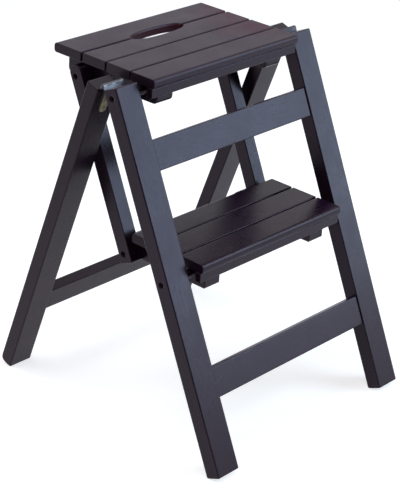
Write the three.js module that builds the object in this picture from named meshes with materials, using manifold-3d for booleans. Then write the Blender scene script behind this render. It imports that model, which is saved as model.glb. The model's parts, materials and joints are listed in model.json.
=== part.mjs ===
// A two-step folding stool of stained hardwood. Two frames are hinged at their tops, two slatted steps
// turn on bolts in the front legs, and a pair of bars hangs the lower step from the upper one, so that
// both fold together. Millimetres, +X to the right, +Y to the back, +Z up. The origin is on the floor,
// at the middle of the footprint.

import * as THREE from "three";
import { mergeVertices } from "three/addons/utils/BufferGeometryUtils.js";
import Module from "manifold-3d";

const wasm = await Module();
wasm.setup();

// Fits and cuts
const clearance = 0.3;
const runningGap = 0.5;
const overrun = 5;
const mergeTolerance = 1e-4;

// Front frame: two leaning legs and two rails
const frameWidth = 410;
const legWidth = 42;
const frontLegDepth = 24;
const frontLegLength = 559;
const frontLean = THREE.MathUtils.degToRad(24.3);
const legCornerRadius = 2;
const legEdgeEase = 1.2;
const footFlatRun = 3;
const frontRailThickness = 12;
const frontRailSetback = 2;
const frontRailEase = 1.5;
const upperRailHeight = 43.6;
const upperRailRise = 433;
const lowerRailHeight = 44;
const lowerRailRise = 105;

// Stub tenons of every rail
const tenonLength = 14;
const tenonSideShoulder = 2;
const tenonEndShoulder = 5;

// Rear frame: two legs, a load rail under the upper step and a lower rail
const rearLegDepth = 22;
const rearLean = THREE.MathUtils.degToRad(18.8);
const rearHeelRadius = 9;
const loadRailHeight = 16;
const loadRailThickness = 12;
const rearRailHeight = 37;
const rearRailThickness = 18;
const rearRailRise = 106;
const rearRailInset = 1;

// Butt hinges between the frames
const hingeRise = 6;
const rearLegDrop = 7.5;
const barrelRadius = 3;
const hingePinRadius = 1.5;
const hingePinHeadRadius = 2.4;
const hingePinHeadHeight = 1.2;
const knuckleCount = 5;
const hingeWidth = 38;
const leafHeight = 50;
const leafWidth = 13;
const leafThickness = 1.5;
const leafCornerRadius = 6;
const leafShoulder = 7;
const leafShoulderRadius = 2;
const screwHeadRadius = 3;
const screwHeadEdge = 0.3;
const screwShankRadius = 1.5;
const screwLength = 9;
const screwDrops = [13, 28, 42];

// Pivots on the front legs
const upperPivotDrop = 13.3;
const pivotSpacing = 263;
const pivotFromFront = 13;

// Steps, measured from their pivot
const stepEndGap = 11;
const noseAhead = 28;
const plankThickness = 14;
const plankUndersideAbovePivot = 8.7;
const upperPlankCount = 4;
const lowerPlankCount = 3;
const plankWidth = 45;
const plankGap = 3;
const plankEase = 1.5;
const plankEndEase = 0.5;
const noseTopRadius = 5.4;
const noseBottomRadius = 6;
const upperRearPlankWidth = 54;
const upperRearRadius = 5;
const lowerRearPlankWidth = 42;
const lowerRearRadius = 4;
const handleGap = 4;

// Oval hand slot through the two rear planks
const slotHalfLength = 52.2;
const slotHalfWidth = 13.7;
const slotFullness = 2.3;
const slotFacets = 40;
// Each row is a depth from the face, then how much wider the slot is there, lengthwise and across
const slotRimFlare = [
  [0, 2.8, 1.7],
  [0.8, 1.2, 0.7],
  [2.8, 0, 0],
];
const slotMouthFlare = [
  [2.4, 0, 0],
  [0.8, 1.2, 1.8],
  [0, 2.4, 3.8],
];

// Bearers and battens under the planks
const bearerWidth = 31;
const upperBearerHeight = 31.5;
const lowerBearerHeight = 34.2;
const bearerEase = 0.8;
const bearerTopRadius = 1.6;
const upperBearerFrontRadius = 9;
const lowerBearerFrontRadius = 2.5;
const bearerRearRadius = 7;
const lowerBearerTailRadius = 20;
const upperBearerRear = 163;
const lowerBearerRear = 142;
const battenSetback = 4;
const battenThickness = 9.5;
const battenHeight = 14;
const battenEase = 1.2;

// Link bars
const linkBarWidth = 23;
const linkBarDepth = 23;
const linkBarSideGap = 9;
const linkBarEase = 0.9;
const linkPivotBehind = 124;
const linkPivotBelow = 15.5;
const linkPivotFromFront = 13.5;
const linkDomeRise = 5.5;
const linkEndBelow = 14;
const linkEndRadius = 2;

// Pivot bolts and spacers
const boltRadius = 3;
const boltHeadRadius = 4.5;
const boltHeadLength = 5;
const boltHeadSink = 3;
const boltHeadEase = 0.7;
const boltSocketRadius = 2.7;
const boltSocketDepth = 2.6;
const boltEndCover = 5;
const spacerRadius = 6.5;

// Facets
const cornerSegments = 3;
const noseSegments = 5;
const domeSegments = 9;
const roundSegments = 20;
const fineSegments = 12;
const hexSides = 6;

// Layers across the width, from a leg's inner face to the middle of the stool
const legCentreX = (frameWidth - legWidth) / 2;
const legInnerX = legCentreX - legWidth / 2;
const linkBarOuterX = legInnerX - linkBarSideGap;
const linkBarInnerX = linkBarOuterX - linkBarWidth;
const bearerOuterX = linkBarInnerX - runningGap;
const bearerInnerX = bearerOuterX - bearerWidth;
const stepHalfLength = legInnerX - stepEndGap;

// A leg's lowest corner is cut level, so that it stands flat
const frontFlatRise = footFlatRun * Math.tan(frontLean);
const frontFootLift = frontLegDepth * Math.sin(frontLean) - frontFlatRise * Math.cos(frontLean);
const rearFlatRise = footFlatRun * Math.tan(rearLean);

// Points of the side view, as [y, z] from the front foot
const frontPoint = (depth, along) => [
  along * Math.sin(frontLean) + depth * Math.cos(frontLean),
  frontFootLift + along * Math.cos(frontLean) - depth * Math.sin(frontLean),
];
const upperPivotAlong = frontLegLength - upperPivotDrop;
const upperPivot = frontPoint(pivotFromFront, upperPivotAlong);
const lowerPivot = frontPoint(pivotFromFront, upperPivotAlong - pivotSpacing);
const hingeStandOff = clearance + barrelRadius;
const hingeAlong = frontLegLength + hingeRise;
const hingeAxis = frontPoint(frontLegDepth + hingeStandOff, hingeAlong);

// The rear frame hangs from the hinge axis, and its legs are as long as it takes to reach the floor
const rearHingeHeight = hingeAxis[1] + hingeStandOff * Math.sin(rearLean);
const rearHingeAlong = rearHingeHeight / Math.cos(rearLean) + rearFlatRise;
const rearLegLength = rearHingeAlong - rearLegDrop;
const rearFoot = [
  hingeAxis[0] + rearHingeAlong * Math.sin(rearLean) + hingeStandOff * Math.cos(rearLean),
  hingeAxis[1] - rearHingeAlong * Math.cos(rearLean) + hingeStandOff * Math.sin(rearLean),
];

// The load rail is in the middle of the rear legs, and its top front corner meets the bearers' underside
const loadRailInset = (rearLegDepth - loadRailThickness) / 2;
const upperBearerBottom = plankUndersideAbovePivot - upperBearerHeight;
const loadRailCorner = upperPivot[1] + upperBearerBottom - clearance - rearFoot[1];
const loadRailTop = (loadRailCorner - loadRailInset * Math.sin(rearLean)) / Math.cos(rearLean);

const stainedWood = new THREE.MeshStandardMaterial({ color: 0x3a333b, roughness: 0.45 });
const plankWood = new THREE.MeshStandardMaterial({ color: 0x443c46, roughness: 0.4 });
const zincSteel = new THREE.MeshStandardMaterial({ color: 0xaab4ba, roughness: 0.3, metalness: 1 });
const brassPlate = new THREE.MeshStandardMaterial({ color: 0x8a7a4c, roughness: 0.4, metalness: 1 });
const blackSteel = new THREE.MeshStandardMaterial({ color: 0x1c1a1c, roughness: 0.5, metalness: 0.8 });

// A closed geometry as a solid, and back
function solidOf(geometry) {
  const bare = geometry.index ? geometry.toNonIndexed() : geometry.clone();
  bare.deleteAttribute("normal");
  bare.deleteAttribute("uv");
  const merged = mergeVertices(bare, mergeTolerance);
  const vertProperties = merged.attributes.position.array;
  const triVerts = new Uint32Array(merged.index.array);
  return new wasm.Manifold(new wasm.Mesh({ numProp: 3, vertProperties, triVerts }));
}

function geometryOf(solid) {
  const { vertProperties, triVerts, numProp } = solid.getMesh();
  const indexed = new THREE.BufferGeometry();
  const buffer = new THREE.InterleavedBuffer(vertProperties, numProp);
  indexed.setAttribute("position", new THREE.InterleavedBufferAttribute(buffer, 3, 0));
  indexed.setIndex(new THREE.BufferAttribute(triVerts, 1));
  const geometry = indexed.toNonIndexed();
  geometry.computeVertexNormals();
  return geometry;
}

// A piece is its body with every cutter taken out of it
function cut(body, ...cutters) {
  return cutters.reduce((left, cutter) => left.subtract(solidOf(cutter)), solidOf(body));
}

function piece(name, solid, material) {
  const mesh = new THREE.Mesh(geometryOf(solid), material);
  mesh.name = name;
  return mesh;
}

// A closed outline through corners [u, v, radius], rounded where the radius isn't zero
function roundedOutline(corners) {
  const shape = new THREE.Shape();
  corners.forEach(([u, v, radius], i) => {
    const corner = new THREE.Vector2(u, v);
    const [before, after] = [corners.at(i - 1), corners[(i + 1) % corners.length]].map(
      ([toU, toV]) => new THREE.Vector2(toU, toV).sub(corner).setLength(radius).add(corner),
    );
    if (i) shape.lineTo(before.x, before.y);
    else shape.moveTo(before.x, before.y);
    if (radius) shape.quadraticCurveTo(u, v, after.x, after.y);
  });
  return shape;
}

// An outline of the side view (y, z) carried across the width, centred on x = 0, with eased end edges
function acrossWidth(outline, width, ease = 0, curveSegments = cornerSegments) {
  const geometry = new THREE.ExtrudeGeometry(outline, {
    depth: width - 2 * ease,
    curveSegments,
    bevelEnabled: ease > 0,
    bevelThickness: ease,
    bevelSize: ease,
    bevelOffset: -ease,
    bevelSegments: 2,
  });
  geometry.translate(0, 0, ease - width / 2);
  const [x, y, z] = [new THREE.Vector3(1, 0, 0), new THREE.Vector3(0, 1, 0), new THREE.Vector3(0, 0, 1)];
  return geometry.applyMatrix4(new THREE.Matrix4().makeBasis(y, z, x));
}

function rectangle(fromU, toU, fromV, toV, radius = 0) {
  return roundedOutline([
    [fromU, fromV, radius],
    [toU, fromV, radius],
    [toU, toV, radius],
    [fromU, toV, radius],
  ]);
}

// A cylinder along X between two places, at y and z
function rod(radius, fromX, toX, y, z, segments = roundSegments) {
  const geometry = new THREE.CylinderGeometry(radius, radius, Math.abs(toX - fromX), segments);
  return geometry.rotateZ(Math.PI / 2).translate((fromX + toX) / 2, y, z);
}

function block([fromX, toX], [fromY, toY], [fromZ, toZ]) {
  const geometry = new THREE.BoxGeometry(Math.abs(toX - fromX), toY - fromY, toZ - fromZ);
  return geometry.translate((fromX + toX) / 2, (fromY + toY) / 2, (fromZ + toZ) / 2);
}

// Rails and their tenons

// The tenon on the end of a rail, grown on every side by a margin to cut its mortise
function tenonBlock(rail, side, margin) {
  return block(
    [side * (legInnerX - overrun), side * (legInnerX + tenonLength + margin)],
    [rail.front + tenonSideShoulder - margin, rail.front + rail.thickness - tenonSideShoulder + margin],
    [rail.rise + tenonEndShoulder - margin, rail.rise + rail.height - tenonEndShoulder + margin],
  );
}

function railSolid(rail) {
  const outline = rectangle(
    rail.front,
    rail.front + rail.thickness,
    rail.rise,
    rail.rise + rail.height,
    frontRailEase,
  );
  const bar = solidOf(acrossWidth(outline, 2 * (legInnerX - clearance)));
  return [-1, 1].reduce((solid, side) => solid.add(solidOf(tenonBlock(rail, side, 0))), bar);
}

const frontRails = {
  front_upper_rail: {
    front: frontRailSetback,
    thickness: frontRailThickness,
    rise: upperRailRise,
    height: upperRailHeight,
  },
  front_lower_rail: {
    front: frontRailSetback,
    thickness: frontRailThickness,
    rise: lowerRailRise,
    height: lowerRailHeight,
  },
};
const rearRails = {
  rear_upper_rail: {
    front: loadRailInset,
    thickness: loadRailThickness,
    rise: loadRailTop - loadRailHeight,
    height: loadRailHeight,
  },
  rear_lower_rail: {
    front: rearRailInset,
    thickness: rearRailThickness,
    rise: rearRailRise,
    height: rearRailHeight,
  },
};

// A leg stands on the origin of its frame: y is the depth from its front face and z runs up the leg
function legSolid(outline, rails, side, hinge, holes) {
  const body = acrossWidth(outline, legWidth, legEdgeEase).translate(side * legCentreX, 0, 0);
  const mortises = Object.values(rails).map((rail) => tenonBlock(rail, side, clearance));
  const pilots = screwPlaces(side * legCentreX).map(([x, drop]) =>
    placedScrew(screwGeometry(clearance, overrun), hinge.facing, x, drop).translate(0, hinge.y, hinge.z),
  );
  return cut(body, ...mortises, ...pilots, ...holes);
}

// Bolts

// The bore of a pivot bolt through wood, and the wider bore that its head sinks into
function boltBores(side, faceX, y, z) {
  const seatX = faceX - boltHeadSink - boltHeadLength - clearance;
  return [
    rod(boltRadius + clearance, side * (faceX + overrun), 0, y, z),
    rod(boltHeadRadius + clearance, side * (faceX + overrun), side * seatX, y, z),
  ];
}

// A socket-head bolt, from a head sunk below the face at faceX to an end at tipX
function boltSolid(side, faceX, tipX, y, z) {
  const headTop = faceX - boltHeadSink;
  const headSeat = headTop - boltHeadLength;
  const profile = [
    [0, headTop],
    [boltHeadRadius - boltHeadEase, headTop],
    [boltHeadRadius, headTop - boltHeadEase],
    [boltHeadRadius, headSeat],
    [boltRadius, headSeat],
    [boltRadius, tipX + boltHeadEase],
    [boltRadius - boltHeadEase, tipX],
    [0, tipX],
  ].map(([radius, along]) => new THREE.Vector2(radius, along));
  const turned = new THREE.LatheGeometry(profile.reverse(), roundSegments);
  const socket = rod(boltSocketRadius, headTop - boltSocketDepth, headTop + overrun, 0, 0, hexSides);
  const body = cut(turned.rotateZ(-Math.PI / 2), socket);
  const geometry = geometryOf(body);
  if (side < 0) geometry.rotateZ(Math.PI);
  return solidOf(geometry.translate(0, y, z));
}

function spacerSolid(side, y, z) {
  const ends = [side * (legInnerX - clearance), side * (bearerOuterX + clearance)];
  const bore = [side * (legInnerX + overrun), side * (bearerOuterX - overrun)];
  return cut(rod(spacerRadius, ...ends, y, z), rod(boltRadius + clearance, ...bore, y, z));
}

// Hinges

// Where each knuckle of the barrel lies along X; the front leaf has the outer ones
function knuckles(centreX, forFrontLeaf) {
  const pitch = hingeWidth / knuckleCount;
  const places = [];
  for (let i = forFrontLeaf ? 0 : 1; i < knuckleCount; i += 2) {
    const start = centreX - hingeWidth / 2 + i * pitch;
    places.push([start + clearance / 2, start + pitch - clearance / 2]);
  }
  return places;
}

// A countersunk screw along +Y from its head, or, with a margin and a lead, the hole for it
function screwGeometry(margin, lead) {
  const profile = [
    [0, -lead],
    [screwHeadRadius + margin, -lead],
    [screwHeadRadius + margin, screwHeadEdge],
    [screwShankRadius + margin, leafThickness],
    [screwShankRadius + margin, screwLength + margin],
    [0, screwLength + margin],
  ].map(([radius, along]) => new THREE.Vector2(radius, along));
  return new THREE.LatheGeometry(profile, fineSegments);
}

// A screw goes through the leaf into the leg that the leaf faces
function placedScrew(geometry, facing, x, drop) {
  if (facing < 0) geometry.rotateZ(Math.PI);
  return geometry.translate(x, facing * (barrelRadius - leafThickness), -drop);
}

function screwPlaces(centreX) {
  return screwDrops.map((drop) => [centreX, drop]);
}

// A leaf lies against a leg at y = facing * barrelRadius and curls round the pin at the origin
function leafSolid(centreX, facing) {
  const forFrontLeaf = facing < 0;
  const half = hingeWidth / 2 - clearance / 2;
  const outline = roundedOutline([
    [-half, 0, 0],
    [-half, -leafShoulder, leafShoulderRadius],
    [-leafWidth / 2, -leafShoulder, leafShoulderRadius],
    [-leafWidth / 2, -leafHeight, leafCornerRadius],
    [leafWidth / 2, -leafHeight, leafCornerRadius],
    [leafWidth / 2, -leafShoulder, leafShoulderRadius],
    [half, -leafShoulder, leafShoulderRadius],
    [half, 0, 0],
  ]);
  const plate = new THREE.ExtrudeGeometry(outline, {
    depth: leafThickness,
    curveSegments: cornerSegments,
    bevelEnabled: false,
  });
  plate.rotateX(Math.PI / 2);
  const plateBack = facing > 0 ? barrelRadius : leafThickness - barrelRadius;
  plate.translate(centreX, plateBack, 0);
  let leaf = solidOf(plate);
  for (const [from, to] of knuckles(centreX, !forFrontLeaf)) {
    leaf = leaf.subtract(solidOf(rod(barrelRadius + clearance, from - clearance, to + clearance, 0, 0)));
  }
  for (const [from, to] of knuckles(centreX, forFrontLeaf)) {
    leaf = leaf.add(solidOf(rod(barrelRadius, from, to, 0, 0)));
  }
  const bore = hingePinRadius + clearance;
  const reach = hingeWidth / 2 + overrun;
  leaf = leaf.subtract(solidOf(rod(bore, centreX - reach, centreX + reach, 0, 0, fineSegments)));
  for (const [x, drop] of screwPlaces(centreX)) {
    leaf = leaf.subtract(solidOf(placedScrew(screwGeometry(clearance, overrun), facing, x, drop)));
  }
  return leaf;
}

function hingePinSolid(centreX) {
  const half = hingeWidth / 2 + clearance;
  const head = half + hingePinHeadHeight;
  const profile = [
    [0, -head],
    [hingePinRadius, -head],
    [hingePinHeadRadius, -half - hingePinHeadHeight / 2],
    [hingePinHeadRadius, -half],
    [hingePinRadius, -half],
    [hingePinRadius, half],
    [hingePinHeadRadius, half],
    [hingePinHeadRadius, half + hingePinHeadHeight / 2],
    [hingePinRadius, head],
    [0, head],
  ].map(([radius, along]) => new THREE.Vector2(radius, along));
  const turned = new THREE.LatheGeometry(profile, fineSegments);
  return solidOf(turned.rotateZ(-Math.PI / 2).translate(centreX, 0, 0));
}

// Steps: y and z are measured from the pivot

const plankTop = plankUndersideAbovePivot + plankThickness;
const plankSection = (from, to, corners) =>
  roundedOutline([
    [from, plankUndersideAbovePivot, corners.frontBottom ?? plankEase],
    [to, plankUndersideAbovePivot, corners.rearBottom ?? plankEase],
    [to, plankTop, corners.rearTop ?? plankEase],
    [from, plankTop, corners.frontTop ?? plankEase],
  ]);

// The planks of a step, front to back, as [from, to] along y
function plankPlaces(count, rearWidth, lastGap) {
  const places = [];
  let from = -noseAhead;
  for (let i = 1; i <= count; i++) {
    const width = i < count ? plankWidth : rearWidth;
    places.push([from, from + width]);
    from += width + (i === count - 1 ? lastGap : plankGap);
  }
  return places;
}

// A level ring that is fuller than an ellipse
function ovalRing(halfLength, halfWidth, centreY, z) {
  const power = 2 / slotFullness;
  return Array.from({ length: slotFacets }, (_, i) => {
    const turn = (2 * Math.PI * i) / slotFacets;
    const [along, across] = [Math.cos(turn), Math.sin(turn)];
    return [
      halfLength * Math.sign(along) * Math.abs(along) ** power,
      centreY + halfWidth * Math.sign(across) * Math.abs(across) ** power,
      z,
    ];
  });
}

// A closed body through rings that are stacked upwards
function loft(rings) {
  const count = rings[0].length;
  const topStart = (rings.length - 1) * count;
  const faces = [];
  for (let i = 0; i < count; i++) {
    const next = (i + 1) % count;
    for (let start = 0; start < topStart; start += count) {
      faces.push(start + i, start + next, start + count + next);
      faces.push(start + i, start + count + next, start + count + i);
    }
    faces.push(0, next, i);
    faces.push(topStart, topStart + i, topStart + next);
  }
  const geometry = new THREE.BufferGeometry();
  geometry.setAttribute("position", new THREE.Float32BufferAttribute(rings.flat(2), 3));
  return geometry.setIndex(faces);
}

// The hand slot goes through the two rear planks, and opens out at its rim above and its mouth below
function handSlot(centreY) {
  const mouth = slotMouthFlare.map(([depth, longer, wider]) => [
    plankUndersideAbovePivot + depth,
    longer,
    wider,
  ]);
  const rim = slotRimFlare.map(([depth, longer, wider]) => [plankTop - depth, longer, wider]);
  const rows = [...mouth, ...rim].sort((a, b) => a[0] - b[0]);
  const below = [rows[0][0] - overrun, rows[0][1], rows[0][2]];
  const above = [plankTop + overrun, rows.at(-1)[1], rows.at(-1)[2]];
  const rings = [below, ...rows, above].map(([z, longer, wider]) =>
    ovalRing(slotHalfLength + longer, slotHalfWidth + wider, centreY, z),
  );
  return loft(rings);
}

function addPlanks(step, prefix, places, rearRadius, slotCutters) {
  places.forEach(([from, to], i) => {
    const last = i === places.length - 1;
    const nose = { frontBottom: noseBottomRadius, frontTop: noseTopRadius };
    const tail = { rearBottom: rearRadius, rearTop: rearRadius };
    const section = plankSection(from, to, { ...(i ? {} : nose), ...(last ? tail : {}) });
    const body = acrossWidth(section, 2 * stepHalfLength, plankEndEase, noseSegments);
    const cutters = i >= places.length - 2 ? slotCutters : [];
    step.add(piece(`${prefix}_plank_${i + 1}`, cut(body, ...cutters), plankWood));
  });
}

function bearerSolid(side, { height, rear, frontRadius, tailRadius, notches }) {
  const bottom = plankUndersideAbovePivot - height;
  const top = plankUndersideAbovePivot - clearance;
  const front = battenThickness + battenSetback + clearance - noseAhead;
  const outline = roundedOutline([
    [front, bottom, frontRadius],
    [rear, bottom, bearerRearRadius],
    [rear, top, tailRadius],
    [front, top, bearerTopRadius],
  ]);
  const body = acrossWidth(outline, bearerWidth, bearerEase, noseSegments);
  body.translate(side * (bearerInnerX + bearerWidth / 2), 0, 0);
  const tipX = bearerInnerX + boltEndCover - clearance;
  const bore = (y, z) => rod(boltRadius + clearance, side * (bearerOuterX + overrun), side * tipX, y, z);
  return cut(body, bore(0, 0), bore(linkPivotBehind, -linkPivotBelow), ...notches);
}

// The underside of the upper bearers has a shallow step that drops over the load rail and stops the
// frames from spreading. It is the rail's own section, with clearance, in the rear frame's lean.
function loadRailNotch() {
  const front = loadRailInset - loadRailHeight;
  const back = loadRailInset + loadRailThickness + clearance;
  const shape = block(
    [-frameWidth / 2, frameWidth / 2],
    [front, back],
    [loadRailTop - loadRailHeight - overrun, loadRailTop + clearance],
  );
  shape.rotateX(rearLean);
  return shape.translate(0, rearFoot[0] - upperPivot[0], rearFoot[1] - upperPivot[1]);
}

function battenSolid() {
  const front = battenSetback - noseAhead;
  const top = plankUndersideAbovePivot - clearance;
  const outline = rectangle(front, front + battenThickness, top - battenHeight, top, battenEase);
  return solidOf(acrossWidth(outline, 2 * stepHalfLength));
}

// The bolt of a link bar's pivot runs through the bar into the bearer, which carries it
function linkBoltSolid(side) {
  const tipX = bearerInnerX + boltEndCover;
  return boltSolid(side, linkBarOuterX, tipX, linkPivotBehind, -linkPivotBelow);
}

// A link bar stands on its upper pivot: y is the depth and z runs up the bar, to a domed end
function linkBarSolid(side) {
  const front = -linkPivotFromFront;
  const back = linkBarDepth - linkPivotFromFront;
  const low = -pivotSpacing - linkEndBelow;
  const outline = new THREE.Shape();
  outline.absarc((front + back) / 2, linkDomeRise, linkBarDepth / 2, 0, Math.PI);
  outline.lineTo(front, low + linkEndRadius);
  outline.quadraticCurveTo(front, low, front + linkEndRadius, low);
  outline.lineTo(back - linkEndRadius, low);
  outline.quadraticCurveTo(back, low, back, low + linkEndRadius);
  const body = acrossWidth(outline, linkBarWidth, linkBarEase, domeSegments);
  body.translate((side * (linkBarOuterX + linkBarInnerX)) / 2, 0, 0);
  const bores = [0, -pivotSpacing].flatMap((z) => boltBores(side, linkBarOuterX, 0, z));
  return cut(body, ...bores);
}

// Assembly

const sides = { left: -1, right: 1 };

// One leaf and its screws, at the hinge axis of the frame it is screwed to
function addLeaf(frame, leafName, sideName, hinge, material) {
  const centreX = sides[sideName] * legCentreX;
  const group = new THREE.Group();
  group.position.set(0, hinge.y, hinge.z);
  group.add(piece(`hinge_${leafName}_leaf_${sideName}`, leafSolid(centreX, hinge.facing), material));
  screwPlaces(centreX).forEach(([x, drop], i) => {
    const screw = solidOf(placedScrew(screwGeometry(0, 0), hinge.facing, x, drop));
    group.add(piece(`hinge_${leafName}_screw_${sideName}_${i + 1}`, screw, material));
  });
  frame.add(group);
  return group;
}

function frontFrame() {
  const frame = new THREE.Group();
  frame.position.set(0, 0, frontFootLift);
  frame.rotation.x = -frontLean;
  const outline = roundedOutline([
    [0, 0, legCornerRadius],
    [frontLegDepth - footFlatRun, 0, 0],
    [frontLegDepth, frontFlatRise, 0],
    [frontLegDepth, frontLegLength, legCornerRadius],
    [0, frontLegLength, legCornerRadius],
  ]);
  const pivots = { upper: upperPivotAlong, lower: upperPivotAlong - pivotSpacing };
  const hinge = { facing: -1, y: frontLegDepth + hingeStandOff, z: hingeAlong };
  for (const [name, rail] of Object.entries(frontRails)) {
    frame.add(piece(name, railSolid(rail), stainedWood));
  }
  for (const [sideName, side] of Object.entries(sides)) {
    const bores = Object.values(pivots).flatMap((along) =>
      boltBores(side, frameWidth / 2, pivotFromFront, along),
    );
    const leg = legSolid(outline, frontRails, side, hinge, bores);
    frame.add(piece(`front_leg_${sideName}`, leg, stainedWood));
    for (const [level, along] of Object.entries(pivots)) {
      const tipX = bearerInnerX + boltEndCover;
      const bolt = boltSolid(side, frameWidth / 2, tipX, pivotFromFront, along);
      frame.add(piece(`${level}_pivot_bolt_${sideName}`, bolt, blackSteel));
      const spacer = spacerSolid(side, pivotFromFront, along);
      frame.add(piece(`${level}_pivot_spacer_${sideName}`, spacer, blackSteel));
    }
    const barrel = addLeaf(frame, "front", sideName, hinge, zincSteel);
    barrel.add(piece(`hinge_pin_${sideName}`, hingePinSolid(side * legCentreX), zincSteel));
  }
  return frame;
}

function rearFrame() {
  const frame = new THREE.Group();
  frame.position.set(0, ...rearFoot);
  frame.rotation.x = rearLean;
  const outline = roundedOutline([
    [0, rearFlatRise, 0],
    [footFlatRun, 0, 0],
    [rearLegDepth, 0, rearHeelRadius],
    [rearLegDepth, rearLegLength, legCornerRadius],
    [0, rearLegLength, legCornerRadius],
  ]);
  const hinge = { facing: 1, y: -hingeStandOff, z: rearHingeAlong };
  for (const [name, rail] of Object.entries(rearRails)) {
    frame.add(piece(name, railSolid(rail), stainedWood));
  }
  for (const [sideName, side] of Object.entries(sides)) {
    const leg = legSolid(outline, rearRails, side, hinge, []);
    frame.add(piece(`rear_leg_${sideName}`, leg, stainedWood));
    addLeaf(frame, "rear", sideName, hinge, brassPlate);
  }
  return frame;
}

function stepGroup(prefix, pivot, form) {
  const { places, rearRadius, slotCutters, bearer } = form;
  const step = new THREE.Group();
  step.position.set(0, ...pivot);
  addPlanks(step, prefix, places, rearRadius, slotCutters);
  step.add(piece(`${prefix}_front_batten`, battenSolid(), stainedWood));
  for (const [sideName, side] of Object.entries(sides)) {
    step.add(piece(`${prefix}_bearer_${sideName}`, bearerSolid(side, bearer), stainedWood));
    step.add(piece(`${prefix}_link_bolt_${sideName}`, linkBoltSolid(side), blackSteel));
  }
  return step;
}

function linkBars() {
  const bars = new THREE.Group();
  bars.position.set(0, upperPivot[0] + linkPivotBehind, upperPivot[1] - linkPivotBelow);
  bars.rotation.x = -frontLean;
  for (const [sideName, side] of Object.entries(sides)) {
    bars.add(piece(`link_bar_${sideName}`, linkBarSolid(side), stainedWood));
  }
  return bars;
}

const upperPlaces = plankPlaces(upperPlankCount, upperRearPlankWidth, handleGap);
const slotCentre = (upperPlaces.at(-2)[1] + upperPlaces.at(-1)[0]) / 2;

const upperStep = stepGroup("top", upperPivot, {
  places: upperPlaces,
  rearRadius: upperRearRadius,
  slotCutters: [handSlot(slotCentre)],
  bearer: {
    height: upperBearerHeight,
    rear: upperBearerRear,
    frontRadius: upperBearerFrontRadius,
    tailRadius: bearerTopRadius,
    notches: [loadRailNotch()],
  },
});

const lowerStep = stepGroup("middle", lowerPivot, {
  places: plankPlaces(lowerPlankCount, lowerRearPlankWidth, plankGap),
  rearRadius: lowerRearRadius,
  slotCutters: [],
  bearer: {
    height: lowerBearerHeight,
    rear: lowerBearerRear,
    frontRadius: lowerBearerFrontRadius,
    tailRadius: lowerBearerTailRadius,
    notches: [],
  },
});

const stool = new THREE.Group();
stool.add(frontFrame(), rearFrame(), upperStep, lowerStep, linkBars());

// The footprint is centred on the origin
const footprint = new THREE.Box3().setFromObject(stool, true);
stool.position.y = -(footprint.min.y + footprint.max.y) / 2;

const root = new THREE.Group();
root.name = "folding_step_stool";
root.add(stool);

export default root;
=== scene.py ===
import json
import math

import bpy
from mathutils import Matrix, Vector


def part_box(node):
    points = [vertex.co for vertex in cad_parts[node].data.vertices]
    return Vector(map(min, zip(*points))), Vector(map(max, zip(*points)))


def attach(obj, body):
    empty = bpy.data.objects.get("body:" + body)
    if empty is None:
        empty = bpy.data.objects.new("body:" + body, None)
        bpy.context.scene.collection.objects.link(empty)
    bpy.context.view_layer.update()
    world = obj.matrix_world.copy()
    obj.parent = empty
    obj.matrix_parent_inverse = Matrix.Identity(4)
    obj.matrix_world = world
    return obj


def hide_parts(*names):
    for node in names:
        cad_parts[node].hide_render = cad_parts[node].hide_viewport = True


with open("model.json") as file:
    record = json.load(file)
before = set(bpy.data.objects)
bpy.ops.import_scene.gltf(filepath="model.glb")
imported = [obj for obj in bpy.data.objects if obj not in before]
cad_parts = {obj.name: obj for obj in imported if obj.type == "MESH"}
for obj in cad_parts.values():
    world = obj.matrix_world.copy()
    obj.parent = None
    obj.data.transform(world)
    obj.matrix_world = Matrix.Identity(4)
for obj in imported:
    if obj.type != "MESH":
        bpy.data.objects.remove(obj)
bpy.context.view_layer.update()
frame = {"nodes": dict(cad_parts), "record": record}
nodes = frame["nodes"]
print("stool frame loaded,", len(nodes), "pieces")


def addNode(tree, kind, links=None, **settings):
    made = tree.nodes.new(kind)
    for name, value in settings.items():
        setattr(made, name, value)
    for socket, value in (links or {}).items():
        if isinstance(value, bpy.types.NodeSocket):
            tree.links.new(value, made.inputs[socket])
        else:
            made.inputs[socket].default_value = value
    return made


def newMaterial(name):
    material = bpy.data.materials.new(name)
    material.use_nodes = True
    material.node_tree.nodes.clear()
    return material, material.node_tree


def shaderGroup(name, inputs, outputs):
    tree = bpy.data.node_groups.new(name, "ShaderNodeTree")
    for side, sockets in (("INPUT", inputs), ("OUTPUT", outputs)):
        for label, kind in sockets.items():
            tree.interface.new_socket(label, in_out=side, socket_type="NodeSocket" + kind)
    return tree, tree.nodes.new("NodeGroupInput").outputs, tree.nodes.new("NodeGroupOutput").inputs


def maths(tree, operation, first, second):
    return addNode(tree, "ShaderNodeMath", {0: first, 1: second}, operation=operation).outputs[0]


def vectorMaths(tree, operation, first, second=(0.0, 0.0, 0.0)):
    return addNode(tree, "ShaderNodeVectorMath", {0: first, 1: second}, operation=operation).outputs[0]


def vectorNumber(tree, operation, first, second=(0.0, 0.0, 0.0)):
    # for a length, a distance or a dot product
    links = {0: first, 1: second}
    return addNode(tree, "ShaderNodeVectorMath", links, operation=operation).outputs["Value"]


def scaled(tree, vector, amounts):
    return vectorMaths(tree, "MULTIPLY", vector, amounts)


def noise(tree, vector, scale, detail=2.0, roughness=0.5):
    links = {"Vector": vector, "Scale": scale, "Detail": detail, "Roughness": roughness}
    return addNode(tree, "ShaderNodeTexNoise", links).outputs["Fac"]


def between(tree, value, low, high, toLow=0.0, toHigh=1.0):
    links = {"Value": value, "From Min": low, "From Max": high, "To Min": toLow, "To Max": toHigh}
    return addNode(tree, "ShaderNodeMapRange", links, clamp=True).outputs["Result"]


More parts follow.
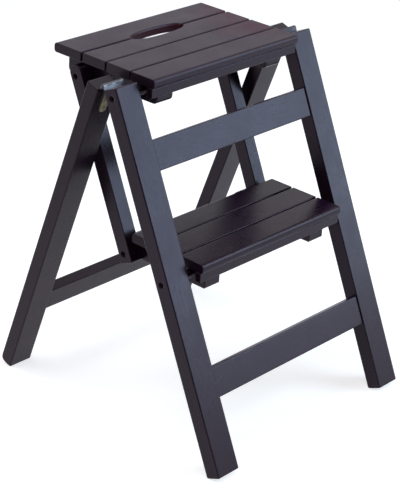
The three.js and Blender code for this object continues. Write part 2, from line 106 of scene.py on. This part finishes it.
def blendColour(tree, amount, first, second):
    # sockets 6 and 7 are the two colours of the mix node, output 2 its colour
    return addNode(tree, "ShaderNodeMix", {0: amount, 6: first, 7: second}, data_type="RGBA").outputs[2]


def rgb(colour):
    return (*colour, 1.0)


pivots = {joint["name"]: joint["pos_m"] for joint in frame["record"]["behaviour"]["joints"]}
lowerLink = [
    0.0,
    pivots["middle_step_fold"][1] + pivots["link_left_fold"][1] - pivots["top_step_fold"][1],
    pivots["middle_step_fold"][2] + pivots["link_left_fold"][2] - pivots["top_step_fold"][2],
]
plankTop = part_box("top_plank_4")[1][2]
lean = {"front": 24.3, "rear": 18.8}  # degrees from upright

# espresso stained wood: lengths in metres, x runs along the grain
grain = {
    "deep": (0.0046, 0.0018, 0.0046),
    "body": (0.0100, 0.0038, 0.0098),
    "warm": (0.0260, 0.0092, 0.0110),
    "warmShare": 0.45,
    "pore": (0.0020, 0.0012, 0.0022),
    "poreShare": 0.6,
    "poreDulling": 0.10,
    "tilt": (1.6, -1.1),
    "wanderScale": (3.0, 14.0, 14.0),
    "ringWander": 0.010,
    "ringScale": 58.0,
    "ringDistortion": 1.2,
    "cloudScale": (5.0, 26.0, 26.0),
    "cloudBand": (0.32, 0.70),
    "fibreScale": (14.0, 900.0, 900.0),
    "fibreBand": (0.30, 0.75),
    "poreScale": (70.0, 2200.0, 2200.0),
    "poreBand": (0.64, 0.74),
    "smudgeScale": 19.0,
    "smudgeBand": (0.3, 0.7),
    "satin": (0.24, 0.32),
    "relief": {"fibre": 0.55, "rings": 0.25, "pores": 0.5},
    "bump": 0.00010,
    "bumpStrength": 0.5,
    "easedEdge": 0.0014,
    "easedLeg": 0.0022,
}


def grainGroup():
    tree, start, end = shaderGroup(
        "espressoGrain",
        {"Place": "Vector", "Tone": "Float"},
        {"Colour": "Color", "Roughness": "Float", "Height": "Float"},
    )
    place = start["Place"]
    links = {"Vector": scaled(tree, place, grain["wanderScale"]), "Scale": 1.0, "Detail": 2.0}
    wander = addNode(tree, "ShaderNodeTexNoise", links).outputs["Color"]
    pushed = vectorMaths(tree, "SUBTRACT", wander, (0.5, 0.5, 0.5))
    reach = grain["ringWander"]
    bent = vectorMaths(tree, "ADD", scaled(tree, pushed, (0.0, reach, reach)), place)
    rings = addNode(
        tree,
        "ShaderNodeTexWave",
        {
            "Vector": bent,
            "Scale": grain["ringScale"],
            "Distortion": grain["ringDistortion"],
            "Detail": 2.0,
            "Detail Scale": 0.7,
        },
        wave_type="RINGS",
        rings_direction="X",
        wave_profile="SAW",
    ).outputs["Fac"]
    clouds = noise(tree, scaled(tree, place, grain["cloudScale"]), 1.0, 3.0)
    fibre = noise(tree, scaled(tree, place, grain["fibreScale"]), 1.0, 4.0, 0.62)
    pores = noise(tree, scaled(tree, place, grain["poreScale"]), 1.0, 1.0)
    pores = between(tree, pores, *grain["poreBand"])
    smudges = noise(tree, place, grain["smudgeScale"], 3.0, 0.6)

    tone = maths(tree, "ADD", between(tree, clouds, *grain["cloudBand"]), start["Tone"])
    colour = blendColour(tree, tone, rgb(grain["deep"]), rgb(grain["body"]))
    latewood = maths(tree, "MULTIPLY", rings, between(tree, fibre, *grain["fibreBand"]))
    latewood = maths(tree, "MULTIPLY", latewood, grain["warmShare"])
    colour = blendColour(tree, latewood, colour, rgb(grain["warm"]))
    shade = maths(tree, "MULTIPLY", pores, grain["poreShare"])
    tree.links.new(blendColour(tree, shade, colour, rgb(grain["pore"])), end["Colour"])

    rough = between(tree, smudges, *grain["smudgeBand"], *grain["satin"])
    rough = maths(tree, "ADD", rough, maths(tree, "MULTIPLY", pores, grain["poreDulling"]))
    tree.links.new(rough, end["Roughness"])
    relief = grain["relief"]
    raised = maths(tree, "MULTIPLY", fibre, relief["fibre"])
    raised = maths(tree, "ADD", raised, maths(tree, "MULTIPLY", rings, relief["rings"]))
    raised = maths(tree, "SUBTRACT", raised, maths(tree, "MULTIPLY", pores, relief["pores"]))
    tree.links.new(raised, end["Height"])
    return tree


# edges where hands, shoes and the floor rub the stain thin
rubbing = {
    "colour": (0.0620, 0.0400, 0.0420),
    "radius": 0.0016,
    "band": (0.02, 0.30),
    "patch": 34.0,
    "patchBand": (0.44, 0.66),
    "strength": 0.40,
    "dulling": 0.12,
}


def edgeGroup():
    tree, start, end = shaderGroup("rubbedEdge", {"Place": "Vector"}, {"Edge": "Float"})
    rounded = addNode(tree, "ShaderNodeBevel", {"Radius": rubbing["radius"]}, samples=4).outputs["Normal"]
    flat = addNode(tree, "ShaderNodeNewGeometry").outputs["True Normal"]
    same = vectorNumber(tree, "DOT_PRODUCT", rounded, flat)
    edge = between(tree, maths(tree, "SUBTRACT", 1.0, same), *rubbing["band"])
    patches = between(tree, noise(tree, start["Place"], rubbing["patch"], 4.0, 0.65), *rubbing["patchBand"])
    tree.links.new(maths(tree, "MULTIPLY", edge, patches), end["Edge"])
    return tree


# the walls of a bolt's seat are painted a lighter reddish brown
boltSeats = {
    "colour": (0.0340, 0.0150, 0.0220),
    "radius": 0.0050,
    "axes": {
        "front_leg": [pivots["top_step_fold"], pivots["middle_step_fold"]],
        "link_bar": [pivots["link_left_fold"], lowerLink],
    },
}


def axisGroup():
    # 1 on what lies within a radius of an axis that runs across the stool
    tree, start, end = shaderGroup(
        "nearAxis",
        {"Place": "Vector", "Axis": "Vector", "Radius": "Float"},
        {"Near": "Float"},
    )
    away = scaled(tree, vectorMaths(tree, "SUBTRACT", start["Place"], start["Axis"]), (0.0, 1.0, 1.0))
    far = vectorNumber(tree, "LENGTH", away)
    tree.links.new(maths(tree, "LESS_THAN", far, start["Radius"]), end["Near"])
    return tree


# the sawn walls of the hand slot in the two rear planks of the upper step
handSlot = {
    "colour": (0.0400, 0.0090, 0.0140),
    "planks": ("top_plank_3", "top_plank_4"),
    "middle": (0.0, 0.124, plankTop - 0.0089),
    "half": (0.0575, 0.0190, 0.0082),
    "soften": 0.0006,
}


def slotGroup():
    # 1 inside a box, given by its middle and half its size
    tree, start, end = shaderGroup(
        "insideSlot",
        {"Place": "Vector", "Middle": "Vector", "Half": "Vector"},
        {"Inside": "Float"},
    )
    away = vectorMaths(tree, "ABSOLUTE", vectorMaths(tree, "SUBTRACT", start["Place"], start["Middle"]))
    left = vectorMaths(tree, "SUBTRACT", start["Half"], away)
    spare = addNode(tree, "ShaderNodeSeparateXYZ", {0: left}).outputs
    least = maths(tree, "MINIMUM", maths(tree, "MINIMUM", spare["X"], spare["Y"]), spare["Z"])
    tree.links.new(between(tree, least, 0.0, handSlot["soften"]), end["Inside"])
    return tree


# browner, duller patches painted about the right end of the upper step, and the duller finish of that step's
# planks
upperStepPatches = {
    "colour": (0.080, 0.022, 0.020),
    "middle": (0.165, 0.080, plankTop),
    "inner": 0.035,
    "outer": 0.125,
    "patch": 26.0,
    "patchBand": (0.36, 0.62),
    "strength": 0.55,
    "dulling": 0.16,
    "treadDulling": 0.10,
}


def upperPatchGroup():
    tree, start, end = shaderGroup("upperStepPatches", {"Place": "Vector"}, {"Patched": "Float"})
    far = vectorNumber(tree, "DISTANCE", start["Place"], upperStepPatches["middle"])
    near = between(tree, far, upperStepPatches["inner"], upperStepPatches["outer"], 1.0, 0.0)
    patches = between(tree, noise(tree, start["Place"], upperStepPatches["patch"], 4.0, 0.6), *upperStepPatches["patchBand"])
    tree.links.new(maths(tree, "MULTIPLY", near, patches), end["Patched"])
    return tree


grainTree = grainGroup()
edgeTree = edgeGroup()
axisTree = axisGroup()
slotTree = slotGroup()
upperPatchTree = upperPatchGroup()


def nearAxis(tree, place, axis, radius):
    links = {"Place": place, "Axis": axis, "Radius": radius}
    return addNode(tree, "ShaderNodeGroup", links, node_tree=axisTree).outputs["Near"]


# the lower step's planks have a lower specular level, as painted shade from the upper step above them, and
# bloom is the lacquer's purple tinge at a low angle
lacquer = {
    "index": 1.30,
    "level": 0.5,
    "shadedLevel": 0.38,
    "tint": (0.90, 0.78, 1.0),
    "bloomPlanks": 0.065,
    "bloomFrame": 0.030,
    "bloomRoughness": 0.35,
    "bloomTint": (0.46, 0.06, 1.0),
}


def stainedWood(name, run, shift, tone):
    # run is the way the board's grain goes, shift moves the board's own pattern
    material, tree = newMaterial(name + "_stain")
    place = addNode(tree, "ShaderNodeTexCoord").outputs["Object"]
    turn = Vector(run).rotation_difference(Vector((1, 0, 0))).to_matrix()
    aside, askew = (math.radians(angle) for angle in grain["tilt"])
    tilt = Matrix.Rotation(aside, 3, "Y") @ Matrix.Rotation(askew, 3, "Z")
    links = {"Vector": place, "Location": shift, "Rotation": (tilt @ turn).to_euler()}
    along = addNode(tree, "ShaderNodeMapping", links).outputs[0]
    pattern = addNode(tree, "ShaderNodeGroup", {"Place": along, "Tone": tone}, node_tree=grainTree).outputs
    edge = addNode(tree, "ShaderNodeGroup", {"Place": along}, node_tree=edgeTree).outputs["Edge"]
    worn = maths(tree, "MULTIPLY", edge, rubbing["strength"])
    colour = blendColour(tree, worn, pattern["Colour"], rgb(rubbing["colour"]))
    rough = maths(tree, "ADD", pattern["Roughness"], maths(tree, "MULTIPLY", edge, rubbing["dulling"]))
    if name.startswith("top_plank"):
        # browner, duller patches about the right end of the upper step
        patchMask = addNode(tree, "ShaderNodeGroup", {"Place": place}, node_tree=upperPatchTree).outputs["Patched"]
        browned = maths(tree, "MULTIPLY", patchMask, upperStepPatches["strength"])
        colour = blendColour(tree, browned, colour, rgb(upperStepPatches["colour"]))
        rough = maths(tree, "ADD", rough, maths(tree, "MULTIPLY", patchMask, upperStepPatches["dulling"]))
        rough = maths(tree, "ADD", rough, upperStepPatches["treadDulling"])
    for axis in boltSeats["axes"].get(name.rsplit("_", 1)[0], []):
        bored = nearAxis(tree, place, axis, boltSeats["radius"])
        colour = blendColour(tree, bored, colour, rgb(boltSeats["colour"]))
    if name in handSlot["planks"]:
        links = {"Place": place, "Middle": handSlot["middle"], "Half": handSlot["half"]}
        sawn = addNode(tree, "ShaderNodeGroup", links, node_tree=slotTree).outputs["Inside"]
        colour = blendColour(tree, sawn, colour, rgb(handSlot["colour"]))
    ease = grain["easedLeg"] if "leg" in name else grain["easedEdge"]
    eased = addNode(tree, "ShaderNodeBevel", {"Radius": ease}, samples=10).outputs["Normal"]
    links = {
        "Height": pattern["Height"],
        "Distance": grain["bump"],
        "Strength": grain["bumpStrength"],
        "Normal": eased,
    }
    bump = addNode(tree, "ShaderNodeBump", links).outputs["Normal"]
    surface = addNode(
        tree,
        "ShaderNodeBsdfPrincipled",
        {
            "Base Color": colour,
            "Roughness": rough,
            "Normal": bump,
            "IOR": lacquer["index"],
            # lower specular on the lower step's planks: painted shade
            "Specular IOR Level": lacquer["shadedLevel"] if "middle_plank" in name else lacquer["level"],
            "Specular Tint": rgb(lacquer["tint"]),
            "Sheen Weight": lacquer["bloomPlanks"] if "plank" in name else lacquer["bloomFrame"],
            "Sheen Roughness": lacquer["bloomRoughness"],
            "Sheen Tint": rgb(lacquer["bloomTint"]),
        },
    )
    addNode(tree, "ShaderNodeOutputMaterial", {"Surface": surface.outputs[0]})
    return material


def legRun(angle):
    return (0.0, math.sin(math.radians(angle)), math.cos(math.radians(angle)))


acrossRun = (1.0, 0.0, 0.0)
depthRun = (0.0, 1.0, 0.0)
frontRun = legRun(lean["front"])
rearRun = legRun(-lean["rear"])

# piece, its grain, where in the log its board was, how light its stain came out
boards = [
    ("front_leg_left", frontRun, (0.31, 0.052, 0.034), 0.05),
    ("front_leg_right", frontRun, (1.12, -0.047, 0.061), -0.06),
    ("rear_leg_left", rearRun, (2.05, 0.071, -0.022), -0.10),
    ("rear_leg_right", rearRun, (0.77, -0.062, 0.018), 0.02),
    ("link_bar_left", frontRun, (3.41, 0.025, 0.088), 0.08),
    ("link_bar_right", frontRun, (2.63, -0.081, 0.015), -0.04),
    ("front_upper_rail", acrossRun, (0.45, 0.066, -0.390), 0.10),
    ("front_lower_rail", acrossRun, (1.73, 0.028, -0.075), 0.02),
    ("rear_upper_rail", acrossRun, (2.91, 0.044, -0.410), -0.08),
    ("rear_lower_rail", acrossRun, (3.60, -0.150, -0.170), 0.00),
    ("top_plank_1", acrossRun, (0.12, 0.095, -0.471), 0.10),
    ("top_plank_2", acrossRun, (1.47, 0.016, -0.455), -0.02),
    ("top_plank_3", acrossRun, (2.29, -0.068, -0.480), 0.14),
    ("top_plank_4", acrossRun, (3.18, -0.150, -0.462), 0.04),
    ("top_front_batten", acrossRun, (0.94, 0.058, -0.440), -0.06),
    ("top_bearer_left", depthRun, (1.88, 0.240, -0.430), 0.00),
    ("top_bearer_right", depthRun, (2.47, -0.190, -0.466), 0.06),
    ("middle_plank_1", acrossRun, (3.05, 0.204, -0.236), 0.06),
    ("middle_plank_2", acrossRun, (0.63, 0.122, -0.221), -0.05),
    ("middle_plank_3", acrossRun, (1.31, 0.041, -0.244), 0.09),
    ("middle_front_batten", acrossRun, (2.78, 0.164, -0.190), -0.03),
    ("middle_bearer_left", depthRun, (0.23, 0.224, -0.205), 0.03),
    ("middle_bearer_right", depthRun, (3.77, -0.160, -0.228), -0.05),
]

for name, run, shift, tone in boards:
    stain = stainedWood(name, run, shift, tone)
    for spot in nodes[name].material_slots:
        spot.material = stain
print("boards stained,", len(boards))


# metal of the hinges and bolts
zincPlate = {
    "bright": (0.110, 0.108, 0.124),
    "dull": (0.080, 0.078, 0.094),
    "satin": (0.36, 0.43),
    "speckle": 900.0,
    "brushed": (60.0, 2400.0, 2400.0),
}
# a darker copy of the zinc plate: painted shade for the right hinge
shadedZinc = {
    "bright": (0.050, 0.048, 0.056),
    "dull": (0.034, 0.032, 0.038),
    "satin": (0.42, 0.52),
    "speckle": 900.0,
    "brushed": (60.0, 2400.0, 2400.0),
}
brassPlate = {
    "bright": (0.46, 0.42, 0.28),
    "dull": (0.17, 0.15, 0.095),
    "satin": (0.34, 0.55),
    "speckle": 700.0,
    "brushed": (2200.0, 90.0, 90.0),
}
blackOxide = {
    "bright": (0.045, 0.036, 0.044),
    "dull": (0.020, 0.016, 0.020),
    "satin": (0.36, 0.54),
    "speckle": 1100.0,
    "brushed": (1500.0, 1500.0, 1500.0),
}
plating = {
    "cloudScale": 130.0,
    "cloudBand": (0.38, 0.68),
    "speckleBand": (0.25, 0.6),
    "speckleShare": (0.4, 1.0),
    "strokeShare": 0.6,
    "satinBand": (0.5, 1.1),
    "bump": 0.00004,
    "bumpStrength": 0.5,
    "hingeAxis": pivots["rear_frame_fold"],
    "knuckleReach": 0.0072,
}


def platedMetal(name, finish, rolled=None):
    # rolled is the finish of the knuckles, where it isn't the plate's own
    material, tree = newMaterial(name)
    place = addNode(tree, "ShaderNodeTexCoord").outputs["Object"]
    clouds = noise(tree, place, plating["cloudScale"], 4.0, 0.6)
    speckle = noise(tree, place, finish["speckle"], 2.0)
    speckle = between(tree, speckle, *plating["speckleBand"], *plating["speckleShare"])
    strokes = noise(tree, scaled(tree, place, finish["brushed"]), 1.0, 3.0, 0.6)
    age = maths(tree, "MULTIPLY", between(tree, clouds, *plating["cloudBand"]), speckle)
    colour = blendColour(tree, age, rgb(finish["bright"]), rgb(finish["dull"]))
    if rolled:
        knuckle = nearAxis(tree, place, plating["hingeAxis"], plating["knuckleReach"])
        rolledColour = blendColour(tree, age, rgb(rolled["bright"]), rgb(rolled["dull"]))
        colour = blendColour(tree, knuckle, colour, rolledColour)
    rough = maths(tree, "ADD", clouds, maths(tree, "MULTIPLY", strokes, plating["strokeShare"]))
    rough = between(tree, rough, *plating["satinBand"], *finish["satin"])
    links = {"Height": strokes, "Distance": plating["bump"], "Strength": plating["bumpStrength"]}
    bump = addNode(tree, "ShaderNodeBump", links).outputs[0]
    links = {"Base Color": colour, "Roughness": rough, "Normal": bump, "Metallic": 1.0}
    surface = addNode(tree, "ShaderNodeBsdfPrincipled", links)
    addNode(tree, "ShaderNodeOutputMaterial", {"Surface": surface.outputs[0]})
    return material


zinc = platedMetal("zincPlate", zincPlate)
# darker copies of the plates, painted shade for the right hinge
zincShaded = platedMetal("shadedZinc", shadedZinc)
brass = platedMetal("brassPlate", brassPlate, zincPlate)
brassShaded = platedMetal("shadedBrass", brassPlate, shadedZinc)
blackened = platedMetal("blackOxide", blackOxide)

# the right hinge's metal is painted darker, as painted shade, so that it shows little reflection
metalSlots = {"zinc_steel": zinc, "brass_plate": brass, "black_steel": blackened}
shadedSlots = {**metalSlots, "zinc_steel": zincShaded, "brass_plate": brassShaded}
for name, part in nodes.items():
    coats = shadedSlots if name.startswith("hinge") and "right" in name else metalSlots
    for spot in part.material_slots:
        kind = spot.material.name.split(".")[0] if spot.material else ""
        if kind in coats:
            spot.material = coats[kind]
print("hinges and bolts plated")


# hinge screws with a cross recess: the named lengths are the tree's inputs
screw = {
    "Head Radius": 0.00290,
    "Head Depth": 0.00130,
    "Shank Radius": 0.00140,
    "Length": 0.0088,
    "Recess Width": 0.00075,
    "Recess Length": 0.00330,
    "Recess Depth": 0.00085,
    "Seed": 11,
}
screwForm = {"headSides": 28, "shankSides": 20, "shankShare": 0.97, "shankSink": 0.52, "flatness": 1e-5}


def screwTree():
    tree = bpy.data.node_groups.new("hingeScrews", "GeometryNodeTree")
    tree.interface.new_socket("Seats", in_out="INPUT", socket_type="NodeSocketGeometry")
    for label, value in screw.items():
        kind = "NodeSocketInt" if isinstance(value, int) else "NodeSocketFloat"
        tree.interface.new_socket(label, in_out="INPUT", socket_type=kind)
    tree.interface.new_socket("Plating", in_out="INPUT", socket_type="NodeSocketMaterial")
    tree.interface.new_socket("Screws", in_out="OUTPUT", socket_type="NodeSocketGeometry")
    start = tree.nodes.new("NodeGroupInput").outputs
    end = tree.nodes.new("NodeGroupOutput").inputs

    def lowered(piece, depth, share=1.0):
        drop = addNode(tree, "ShaderNodeCombineXYZ", {"Z": maths(tree, "MULTIPLY", depth, -share)}).outputs[0]
        return addNode(tree, "GeometryNodeTransform", {"Geometry": piece, "Translation": drop}).outputs[0]

    def slot(length, width):
        deep = maths(tree, "MULTIPLY", start["Recess Depth"], 2.0)
        size = addNode(tree, "ShaderNodeCombineXYZ", {"X": length, "Y": width, "Z": deep}).outputs[0]
        return addNode(tree, "GeometryNodeMeshCube", {"Size": size}).outputs["Mesh"]

    head = addNode(
        tree,
        "GeometryNodeMeshCone",
        {
            "Vertices": screwForm["headSides"],
            "Radius Top": start["Head Radius"],
            "Radius Bottom": start["Shank Radius"],
            "Depth": start["Head Depth"],
        },
    ).outputs["Mesh"]
    shank = addNode(
        tree,
        "GeometryNodeMeshCylinder",
        {
            "Vertices": screwForm["shankSides"],
            "Radius": maths(tree, "MULTIPLY", start["Shank Radius"], screwForm["shankShare"]),
            "Depth": start["Length"],
        },
    ).outputs["Mesh"]
    head = lowered(head, start["Head Depth"])
    shank = lowered(shank, start["Length"], screwForm["shankSink"])
    whole = addNode(tree, "GeometryNodeMeshBoolean", operation="UNION", solver="EXACT")
    recess = addNode(tree, "GeometryNodeMeshBoolean", operation="DIFFERENCE", solver="EXACT")
    for piece in (head, shank):
        tree.links.new(piece, whole.inputs["Mesh 2"])
    tree.links.new(whole.outputs["Mesh"], recess.inputs["Mesh 1"])
    length, width = start["Recess Length"], start["Recess Width"]
    for piece in (slot(length, width), slot(width, length)):
        tree.links.new(piece, recess.inputs["Mesh 2"])

    facing = addNode(
        tree,
        "GeometryNodeInputNamedAttribute",
        {"Name": "facing"},
        data_type="FLOAT_VECTOR",
    ).outputs["Attribute"]
    upright = addNode(
        tree,
        "FunctionNodeAlignRotationToVector",
        {"Vector": facing},
        axis="Z",
    ).outputs[0]
    twist = addNode(
        tree,
        "FunctionNodeRandomValue",
        {2: 0.0, 3: math.pi / 2, "Seed": start["Seed"]},
        data_type="FLOAT",
    ).outputs[1]
    spin = addNode(tree, "ShaderNodeCombineXYZ", {"Z": twist}).outputs[0]
    turned = addNode(
        tree,
        "FunctionNodeRotateRotation",
        {"Rotation": upright, "Rotate By": spin},
        rotation_space="LOCAL",
    ).outputs[0]
    links = {"Points": start["Seats"], "Instance": recess.outputs["Mesh"], "Rotation": turned}
    placed = addNode(tree, "GeometryNodeInstanceOnPoints", links).outputs[0]
    real = addNode(tree, "GeometryNodeRealizeInstances", {"Geometry": placed}).outputs[0]
    links = {"Geometry": real, "Material": start["Plating"]}
    tree.links.new(addNode(tree, "GeometryNodeSetMaterial", links).outputs[0], end["Screws"])
    return tree


def screwSeat(node, facing):
    # the middle of the head's face
    points = [vertex.co.copy() for vertex in nodes[node].data.vertices]
    front = max(point.dot(facing) for point in points)
    face = [point for point in points if point.dot(facing) > front - screwForm["flatness"]]
    middle = sum(face, Vector()) / len(face)
    low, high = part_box(node)
    middle.x = (low[0] + high[0]) / 2
    return middle


def grown(name, seats, facing, tree, values):
    # one mesh of what the tree makes on the seats, as built
    mesh = bpy.data.meshes.new(name + "Seats")
    mesh.from_pydata([tuple(seat) for seat in seats], [], [])
    looks = mesh.attributes.new("facing", "FLOAT_VECTOR", "POINT")
    for spot in looks.data:
        spot.vector = facing
    source = bpy.data.objects.new(name + "Seats", mesh)
    bpy.context.scene.collection.objects.link(source)
    modifier = source.modifiers.new("screws", "NODES")
    modifier.node_group = tree
    for item in tree.interface.items_tree:
        if item.in_out == "INPUT" and item.name in values:
            modifier[item.identifier] = values[item.name]
    graph = bpy.context.evaluated_depsgraph_get()
    made = bpy.data.meshes.new_from_object(source.evaluated_get(graph), depsgraph=graph)
    made.name = name
    bpy.data.objects.remove(source)
    piece = bpy.data.objects.new(name, made)
    bpy.context.scene.collection.objects.link(piece)
    return piece


def legDepth(angle):
    return Vector((0.0, math.cos(math.radians(angle)), -math.sin(math.radians(angle))))


screwNodes = screwTree()
for frameName, leaf, facing, slotName, coat in (
    ("front_frame", "front", legDepth(lean["front"]), "zinc_steel", zinc),
    ("rear_frame", "rear", -legDepth(-lean["rear"]), "brass_plate", brass),
):
    names = [f"hinge_{leaf}_screw_{side}_{i}" for side in ("left", "right") for i in (1, 2, 3)]
    seats = [screwSeat(name, facing) for name in names]
    screws = grown(f"{leaf}HingeScrews", seats, facing, screwNodes, {**screw, "Plating": coat})
    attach(screws, frameName)
    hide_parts(*names)
print("hinge screws made")


# floor, light and camera; a lamp is its name, place, aim, size, watts and tint
studio = {
    "floorHalf": 9.0,
    "floorPaint": (0.62, 0.62, 0.62),
    "floorLift": 0.67,
    "paper": (1.0, 1.0, 1.0),
    "skyFill": (0.93, 0.92, 1.0),
    "skyStrength": 0.28,
    "lamps": [
        ("softboxFrontRight", (1.62, -1.76, 1.26), (0.0, 0.0, 0.35), (1.4, 1.8), 49.0, (0.57, 0.83, 1.0)),
        ("softboxLow", (1.62, -1.92, 0.42), (0.0, 0.0, 0.15), (0.9, 0.6), 1.5, (1.0, 0.90, 0.94)),
        ("softboxRim", (1.77, -1.07, 1.86), (0.0, 0.0, 0.3), (0.5, 0.5), 7.0, (1.0, 0.90, 1.0)),
        ("softboxAbove", (-0.55, 0.35, 2.30), (0.0, 0.0, 0.2), (1.5, 1.5), 24.0, (1.0, 0.94, 1.0)),
        ("softboxFrontLeft", (-2.1, -0.9, 1.3), (0.0, 0.0, 0.2), (1.0, 1.0), 6.0, (1.0, 0.96, 0.95)),
    ],
}


def seenRay(tree):
    # 1 for what the camera, a reflection or a clear piece sees directly
    path = addNode(tree, "ShaderNodeLightPath").outputs
    links = {
        0: maths(tree, "ADD", path["Is Camera Ray"], path["Is Glossy Ray"]),
        1: path["Is Transmission Ray"],
    }
    return addNode(tree, "ShaderNodeMath", links, operation="ADD", use_clamp=True).outputs[0]


def panel(name, wide, tall, material):
    corners = [(-wide, -tall, 0), (wide, -tall, 0), (wide, tall, 0), (-wide, tall, 0)]
    mesh = bpy.data.meshes.new(name)
    mesh.from_pydata(corners, [], [(0, 1, 2, 3)])
    mesh.materials.append(material)
    made = bpy.data.objects.new(name, mesh)
    bpy.context.scene.collection.objects.link(made)
    return made


def makeFloor():
    material, tree = newMaterial("paleFloor")
    paint = addNode(tree, "ShaderNodeBsdfDiffuse", {"Color": rgb(studio["floorPaint"])})
    lift = maths(tree, "MULTIPLY", seenRay(tree), studio["floorLift"])
    glow = addNode(tree, "ShaderNodeEmission", {"Color": rgb(studio["paper"]), "Strength": lift})
    both = addNode(tree, "ShaderNodeAddShader", {0: paint.outputs[0], 1: glow.outputs[0]})
    addNode(tree, "ShaderNodeOutputMaterial", {"Surface": both.outputs[0]})
    floor = panel("floor", studio["floorHalf"], studio["floorHalf"], material)


def makeSky():
    world = bpy.data.worlds.new("studioAir")
    bpy.context.scene.world = world
    world.use_nodes = True
    tree = world.node_tree
    tree.nodes.clear()
    links = {"Color": rgb(studio["skyFill"]), "Strength": studio["skyStrength"]}
    fill = addNode(tree, "ShaderNodeBackground", links)
    paper = addNode(tree, "ShaderNodeBackground", {"Color": rgb(studio["paper"]), "Strength": 1.0})
    pick = addNode(tree, "ShaderNodeMixShader", {0: seenRay(tree), 1: fill.outputs[0], 2: paper.outputs[0]})
    addNode(tree, "ShaderNodeOutputWorld", {"Surface": pick.outputs[0]})


def makeLamps():
    for name, spot, aim, size, watts, tint in studio["lamps"]:
        light = bpy.data.lights.new(name, "AREA")
        light.shape = "RECTANGLE"
        light.size, light.size_y = size
        light.energy = watts
        light.color = tint
        lamp = bpy.data.objects.new(name, light)
        lamp.location = spot
        lamp.rotation_mode = "QUATERNION"
        lamp.rotation_quaternion = (Vector(aim) - Vector(spot)).to_track_quat("-Z", "Y")
        bpy.context.scene.collection.objects.link(lamp)


view = {
    "spot": (-1.7160, -1.488836, 1.3192),
    "around": -48.6237,
    "above": 25.2596,
    "roll": -3.5543,
    "lens": 125.78,
    "sensor": 36.0,
    "shift": (0.00651, -0.02732),
    "clipEnd": 60.0,
}


def makeCamera():
    around, above, roll = (math.radians(view[k]) for k in ("around", "above", "roll"))
    right = Vector((math.cos(around), math.sin(around), 0))
    back = Vector((math.sin(around) * math.cos(above), -math.cos(around) * math.cos(above), math.sin(above)))
    up = back.cross(right)
    across = right * math.cos(roll) - up * math.sin(roll)
    upward = right * math.sin(roll) + up * math.cos(roll)
    data = bpy.data.cameras.new("photoCamera")
    data.lens = view["lens"]
    data.sensor_width = view["sensor"]
    data.shift_x, data.shift_y = view["shift"]
    data.clip_end = view["clipEnd"]
    camera = bpy.data.objects.new("photoCamera", data)
    turned = Matrix((across, upward, back)).transposed().to_4x4()
    camera.matrix_world = Matrix.Translation(view["spot"]) @ turned
    bpy.context.scene.collection.objects.link(camera)
    bpy.context.scene.camera = camera


# a black card behind the camera, which only reflections see: it darkens what faces the camera
flag = {"half": (6.0, 1.8), "behind": 0.5, "paint": (0.02, 0.02, 0.03)}


def makeFlag():
    material, tree = newMaterial("blackCard")
    paint = addNode(tree, "ShaderNodeBsdfDiffuse", {"Color": rgb(flag["paint"])})
    addNode(tree, "ShaderNodeOutputMaterial", {"Surface": paint.outputs[0]})
    card = panel("flag", *flag["half"], material)
    seat = bpy.context.scene.camera.matrix_world
    card.matrix_world = seat @ Matrix.Translation((0, 0, flag["behind"]))
    card.visible_camera = False
    card.visible_diffuse = False
    card.visible_transmission = False
    card.visible_shadow = False


makeFloor()
makeSky()
makeLamps()
makeCamera()
makeFlag()
bpy.context.scene.view_settings.view_transform = "Standard"
print("studio ready")
